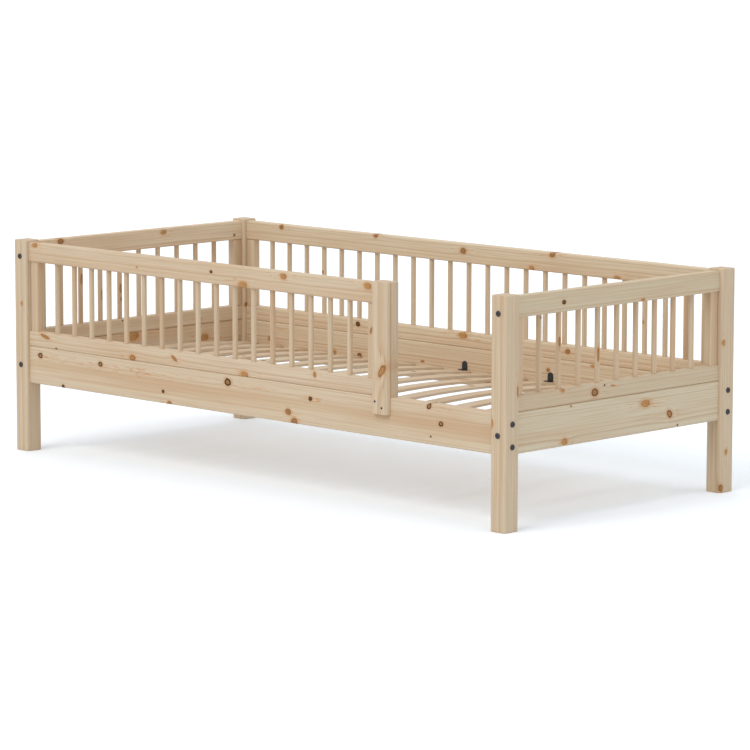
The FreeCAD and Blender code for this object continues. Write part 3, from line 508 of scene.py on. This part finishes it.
postKnots = {
    "post_front_head": [("pale", -1015, -498, 468, 5), ("live", -1050, -478, 402, 8),
                        ("ring", -1028, -441, 170, 9), ("pin", -1050, -462, 96, 4)],
    "post_front_foot": [("pale", 995, -498, 306, 9), ("spike", 1050, -446, 396, 6, -0.8, 2.5),
                        ("live", 1012, -441, 120, 8)],
    "post_back_head": [("live", -992, 452, 384, 6), ("ring", -1020, 501, 250, 9),
                       ("live", -1050, 470, 455, 9), ("pin", -1036, 501, 560, 4)],
    "post_back_foot": [("pale", 1050, 451, 449, 6), ("pale", 1050, 467, 122, 6),
                       ("live", 1050, 446, 16, 9), ("live", 992, 444, 500, 8, 0.0, 2.0),
                       ("ring", 1012, 501, 540, 8), ("live", 1030, 501, 148, 9)]}
seed = 10  # each piece from here on takes the next one, but for the upright and the slats
for name, knots in postKnots.items():
    seed += 1
    dress(pine("planedPinePost", "z", middleOf(name), (0, 44, 50), seed, knots, -0.25,
               "#D7C5AA"), name)

railKnots = {
    "half_guard_top_rail": [
        ("pale", -964, None, 655, 8), ("pale", -488, None, 624, 3), ("dark", -157, None, 637, 5),
        ("pale", -19, None, 608, 12), ("pale", 152, None, 649, 9), ("pale", 500, None, 650, 10)],
    "half_guard_bottom_rail": [
        ("spike", -919, None, 371, 8, -1.6, 2.0), ("pin", -866, None, 337, 4),
        ("spike", -510, None, 343, 10, 0.0, 1.4), ("spike", -322, None, 360, 9, -1.0, 1.0),
        ("pale", -15, None, 340, 11), ("spike", 283, None, 371, 8, 0.0, 0.8)],
    "back_guard_top_rail": [
        ("live", -826, None, 654, 8), ("live", -394, None, 659, 8), ("live", -10, None, 639, 10),
        ("live", 365, None, 657, 9), ("pale", 279, None, 607, 8), ("pale", 628, None, 605, 8)],
    "back_guard_bottom_rail": [
        ("dark", -473, None, 366, 8), ("pale", -9, None, 372, 10.5, 0.0, 1.7),
        ("live", 431, None, 363, 8)],
    "head_guard_top_rail": [("live", None, -344, 653, 10), ("pale", None, 95, 650, 8)],
    "head_guard_bottom_rail": [("pin", None, -85, 377, 3), ("live", None, 250, 352, 8)],
    "foot_guard_top_rail": [("dark", None, -244, 629, 7), ("pale", None, 96, 605, 6)],
    "foot_guard_bottom_rail": [
        ("worn", None, -110, 358, 12, 0.0, 1.2), ("dark", None, -68, 375, 3),
        ("pale", None, -31, 370, 3, -1.2, 3.0), ("pale", None, -247, 378, 6)]}
# the rails drawn in other tones than the rest, each set to how bright it reads: heart share,
# sapwood, heartwood, and how strongly the rings show
railTones = {"foot_guard_top_rail": (-0.15, "#D3C5A9", "#CDB291"),
             "foot_guard_bottom_rail": (-0.1, "#D2C3A7", "#CCB08F", 0.55),
             "back_guard_top_rail": (-0.08, "#DFCFB4", "#D5B998"),
             "back_guard_bottom_rail": (-0.04, "#DFCEB3", "#D6B897", 0.55),
             "half_guard_bottom_rail": (-0.1, "#DBC9AF", "#D1B493"),
             "head_guard_top_rail": (0.0, "#E4D2B6", "#DABB9A")}
for name, knots in railKnots.items():
    grain = "x" if name.startswith(("half", "back")) else "y"
    seed += 1
    dress(pine("planedPineRail", grain, middleOf(name), (0, 62, 40), seed, knots,
               *railTones.get(name, ())), name)

stileKnots = {"half_guard_stile_foot": [("spike", 509, None, 522, 6, 0.8, 1.5)]}
for guard, ends in (("half_guard", ("head", "foot")), ("back_guard", ("head", "foot")),
                    ("head_guard", ("front", "back")), ("foot_guard", ("front", "back"))):
    for end in ends:
        name = f"{guard}_stile_{end}"
        seed += 1
        dress(pine("planedPineStile", "z", middleOf(name), (0, 30, 36), seed,
                   stileKnots.get(name, ())), name)
uprightKnots = [("spike", 574, None, 412, 14, 0.8, 1.1)]
dress(pine("planedPineUpright", "z", middleOf("upright"), (0, 20, 60), 41, uprightKnots, -0.2,
           joint=(1, -486.5, 1.6)), "upright")

spindleKnots = {
    "half_guard": [("pin", -460, -477, 510, 4), ("pin", -457, -477, 500, 3),
                   ("spike", -52, -477, 540, 4, 0.0, 10.0), ("pale", 188, -477, 510, 4)],
    "back_guard": [("live", -644, 465, 520, 4), ("spike", 161, 465, 450, 3, 0.0, 8.0),
                   ("pin", 483, 465, 560, 4), ("pale", 724, 465, 480, 4)],
    "head_guard": [("spike", -1013, -249, 524, 5, 0.0, 3.5), ("spike", -1013, -164, 468, 3, 0, 6),
                   ("spike", -1013, -83, 480, 5, 0.0, 3.0), ("live", -1013, -81, 446, 4, 0, 2)],
    "foot_guard": [("dark", 1029, -330, 592, 3.5), ("pale", 1029, -308, 575, 4),
                   ("live", 1029, -251, 517, 4, 0.0, 3.5), ("spike", 1029, -85, 464, 4, 0.0, 5.0),
                   ("pin", 1029, -11, 593, 3)]}
midY = 1.5  # mm, the middle of the bed across its width
# the spindles of one guard are one node: the axis they stand along, the first or middle one's
# place on it and their pitch, in mm, and the middle that their grain is counted from
for guard, axis, first, pitch, middle in (
        ("half_guard", 0, -876, 80.5, (0, -469.5, 491.5)),
        ("back_guard", 0, 0, 80.5, (0, 472.5, 491.5)),
        ("head_guard", 1, midY, 83, (-1021, 0, 491.5)),
        ("foot_guard", 1, midY, 83, (1021, 0, 491.5))):
    seed += 1
    dress(pine("turnedPineSpindle", "z", middle, (0, 14, 26), seed, spindleKnots[guard], -0.14,
               lines=0.3, row=(axis, first, pitch)), f"{guard}_spindles")
slatKnots = [
    ("dark", 1, 225, None, 6, 0.0, 1.6), ("pale", 241, 200, None, 12),
    ("live", 362, 100, None, 8), ("pin", -602, 70, None, 5), ("dark", -481, 40, None, 7),
    ("live", 844, -210, None, 8), ("pin", -240, -150, None, 4), ("live", -844, 250, None, 7)]
slats = [f"slat_{i:02d}" for i in range(1, 18)]
dress(pine("planedPineSlat", "y", (0, midY, 270), (0, 20, 45), 60, slatKnots, -0.12,
           lines=0.2, row=(0, -964, 120.5)), *slats)
for side in ("front", "back"):
    name = f"slat_ledge_{side}"
    seed += 1
    dress(pine("planedPineLedge", "x", middleOf(name), (0, 20, 40), seed, strewn(name, 6)), name)
print("pine dressed")

# black zinc-plated steel, passivated: nearly black, half matt, with a soft sheen on its edges
blackLook = {"colour": "#2A2B2E", "worn": "#4A4B4F", "roughness": 0.42, "metallic": 0.6}
# bright zinc-plated steel: pale blue-grey metal with cloudy plating
zincLook = {"colour": "#A9ADB2", "worn": "#C4C7CA", "roughness": 0.36, "metallic": 1.0}
plating = {"clouds": 300.0, "spread": 0.08}   # about 3 mm apart, and how unlike in roughness


def steel(name, look):
    material = openMaterial(name)
    here = add("TexCoord").outputs["Object"]
    clouds = add("TexNoise", {"Vector": here, "Scale": plating["clouds"], "Detail": 3.0})
    colour = blended(clouds.outputs[0], look["colour"], look["worn"])
    dull = add("MapRange", {"Value": clouds.outputs[0],
                            "To Min": look["roughness"] - plating["spread"],
                            "To Max": look["roughness"] + plating["spread"]})
    finishWith(add("BsdfPrincipled", {"Base Color": colour, "Metallic": look["metallic"],
                                      "Roughness": dull.outputs[0]}))
    return material


dress(steel("blackenedSteel", blackLook), "connector_bolts", "slat_brackets", "upright_screws",
      "bracket_screws")
dress(steel("zincPlatedSteel", zincLook), "barrel_nuts", "ledge_screws")

# turned beech pegs, hidden in their holes: redder and denser than the pine, with flecks that are
# drawn about 1.5 mm apart
pegLook = {"colour": "#C79B6E", "fleck": "#B98656", "flecks": 700.0, "roughness": 0.6}
pegMaterial = openMaterial("turnedBeechPeg")
pegFlecks = add("TexNoise", {"Vector": add("TexCoord").outputs["Object"],
                             "Scale": pegLook["flecks"]})
pegColour = blended(pegFlecks.outputs[0], pegLook["colour"], pegLook["fleck"])
finishWith(add("BsdfPrincipled", {"Base Color": pegColour, "Roughness": pegLook["roughness"]}))
dress(pegMaterial, "locating_pegs")

# woven polypropylene webbing, off-white, 20 mm wide: a close herringbone of flat dull yarns
webbingLook = {"colour": "#E4E0D6", "shade": "#B9B4A8", "roughness": 0.7,
               "yarn": 1.6, "chevron": 5.0,          # mm along and across the band
               "relief": 0.6, "yarnDepth": 0.0003}   # the depth in metres
webbing = openMaterial("wovenPolypropyleneWebbing")
uv = add("UVMap", uv_map="along").outputs[0]
uvXyz = add("SeparateXYZ", {0: uv}).outputs
chevron = add("Math", {0: uvXyz[1], 1: webbingLook["chevron"]}, operation="PINGPONG")
slanted = add("Math", {0: uvXyz[0], 1: chevron.outputs[0]}, operation="ADD")
turns = product(slanted.outputs[0], 2 * math.pi / webbingLook["yarn"])
wave = add("Math", {0: turns}, operation="SINE")
yarn = add("MapRange", {"Value": wave.outputs[0], "From Min": -1.0}).outputs[0]
webColour = blended(yarn, webbingLook["shade"], webbingLook["colour"])
webBump = add("Bump", {"Height": yarn, "Strength": webbingLook["relief"],
                       "Distance": webbingLook["yarnDepth"]})
finishWith(add("BsdfPrincipled", {"Base Color": webColour, "Normal": webBump.outputs[0],
                                  "Roughness": webbingLook["roughness"]}))

# lengths in metres; lean is in degrees, that of a slat where the band crosses it
strapLook = {"halfWidth": 0.010, "thick": 0.0011, "lean": 5.5, "rowsAlong": 420,
             "rowsAcross": 8}


def strap(side):
    # a flat band along the bed, which leans as the slats do under it; across runs from -1 to 1
    name = f"slat_strap_{side}"
    low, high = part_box(name)
    halfWidth = strapLook["halfWidth"]
    across, along = np.meshgrid(np.linspace(-1, 1, strapLook["rowsAcross"] + 1),
                                np.linspace(low.x, high.x, strapLook["rowsAlong"]))
    middle = (low + high) / 2
    lean = math.radians(strapLook["lean"]) * (1 if middle.y < 0 else -1)
    y = middle.y + across * halfWidth * math.cos(lean)
    z = middle.z + across * halfWidth * math.sin(lean)
    points = np.stack([along, y, z], -1).reshape(-1, 3)
    rows, cols = along.shape
    grid = np.arange(rows * cols).reshape(rows, cols)
    faces = np.stack([grid[:-1, :-1], grid[1:, :-1], grid[1:, 1:], grid[:-1, 1:]], -1)
    piece = meshPiece(f"webbing_{side}", points, faces.reshape(-1, 4), webbing)
    uvMap = piece.data.uv_layers.new(name="along")
    loops = np.array([v for p in piece.data.polygons for v in p.vertices])
    fromEdge = (across.ravel() + 1) * halfWidth
    flatUv = np.stack([along.ravel(), fromEdge], -1)[loops] * 1000   # in mm
    uvMap.data.foreach_set("uv", flatUv.astype(np.float32).ravel())
    wall = piece.modifiers.new("thickness", "SOLIDIFY")
    wall.thickness = strapLook["thick"]
    wall.offset = 0.0
    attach(piece, "root")
    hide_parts(name)


strap("front")
strap("back")
print("webbing made")

# The room is given by how bright it is overhead, at the back, to the right and to the left, and
# the front by a broad lamp: each side then gets about as much light as a plain level gives.
stageLook = {
    "reach": 400.0,                            # m from the part to the floor's edge
    "paper": "#EEEEEE",
    "seenPaper": (1.12, 1.18, 1.235, 1.0),     # the paper as the eye sees it: pure white
    "roomColour": (0.965, 1.0, 1.045, 1.0),
    "overhead": 0.332, "back": 0.485, "right": 0.785, "left": 0.745,
    "lampColour": (1.03, 1.0, 0.965),
    "lamps": (("softTop", 0.114, 0.0), ("softFront", 0.369, 50.0)),   # light on floor, lean
    "lampSpread": 40.0,                        # degrees
}


def seenByEye():
    # 1 for the rays that show the room itself: straight, in a reflection or through a clear piece
    rays = add("LightPath").outputs
    most = rays["Is Camera Ray"]
    for other in ("Is Glossy Ray", "Is Transmission Ray"):
        most = add("Math", {0: most, 1: rays[other]}, operation="MAXIMUM").outputs[0]
    return most


floorMaterial = openMaterial("mattPaperFloor")
floorColour = add("Mix", {0: seenByEye(), 6: linear(stageLook["paper"]),
                          7: stageLook["seenPaper"]}, data_type="RGBA")
finishWith(add("BsdfDiffuse", {"Color": floorColour.outputs[2]}))
corners = np.array([[-1, -1, 0], [1, -1, 0], [1, 1, 0], [-1, 1, 0]]) * stageLook["reach"]
floor = meshPiece("studio_floor", corners, np.array([[0, 1, 2, 3]]), floorMaterial, False)

# an even white room, with no hard edges
world = bpy.data.worlds.new("studio")
bpy.context.scene.world = world
world.use_nodes = True
tree = world.node_tree
tree.nodes.clear()
direction = add("TexCoord").outputs["Generated"]
roomLevel = 0.0
for towards, name in (((0, 0, 1), "overhead"), ((0, 1, 0), "back"), ((1, 0, 0), "right"),
                      ((-1, 0, 0), "left")):
    along = add("VectorMath", {0: direction, 1: towards}, operation="DOT_PRODUCT")
    ahead = add("Math", {0: along.outputs["Value"], 1: 0.0}, operation="MAXIMUM")
    roomLevel = add("Math", {0: ahead.outputs[0], 1: stageLook[name], 2: roomLevel},
                    operation="MULTIPLY_ADD").outputs[0]
seen = seenByEye()
level = add("Mix", {0: seen, 2: roomLevel, 3: 1.0})
skyColour = add("Mix", {0: seen, 6: stageLook["roomColour"], 7: (1.0, 1.0, 1.0, 1.0)},
                data_type="RGBA")
sky = add("Background", {"Color": skyColour.outputs[2], "Strength": level.outputs[0]})
add("OutputWorld", {"Surface": sky.outputs[0]})

for name, lightOnFloor, lean in stageLook["lamps"]:
    lamp = bpy.data.lights.new(name, "SUN")
    lamp.energy = math.pi * lightOnFloor
    lamp.color = stageLook["lampColour"]
    lamp.angle = math.radians(stageLook["lampSpread"])
    lampObject = bpy.data.objects.new(name, lamp)
    lampObject.rotation_euler = (math.radians(lean), 0, 0)
    bpy.context.scene.collection.objects.link(lampObject)

# the photograph's own view, fitted to the corners of the posts: metres, degrees and mm
cameraLook = {"place": (8.2816, -8.3751, 1.9635), "yaw": 44.511, "pitch": 8.072, "roll": -0.088,
              "lens": 186.763, "sensor": 36, "farthest": 2000}
camera = bpy.data.cameras.new("photoView")
camera.sensor_width = cameraLook["sensor"]
camera.lens = cameraLook["lens"]
camera.clip_end = cameraLook["farthest"]
cameraObject = bpy.data.objects.new("photoView", camera)
cameraObject.location = cameraLook["place"]
cameraObject.rotation_euler = [math.radians(turn) for turn in (
    90 - cameraLook["pitch"], cameraLook["roll"], cameraLook["yaw"])]
bpy.context.scene.collection.objects.link(cameraObject)
bpy.context.scene.camera = cameraObject
bpy.context.scene.view_settings.view_transform = "Standard"
print("stage set")
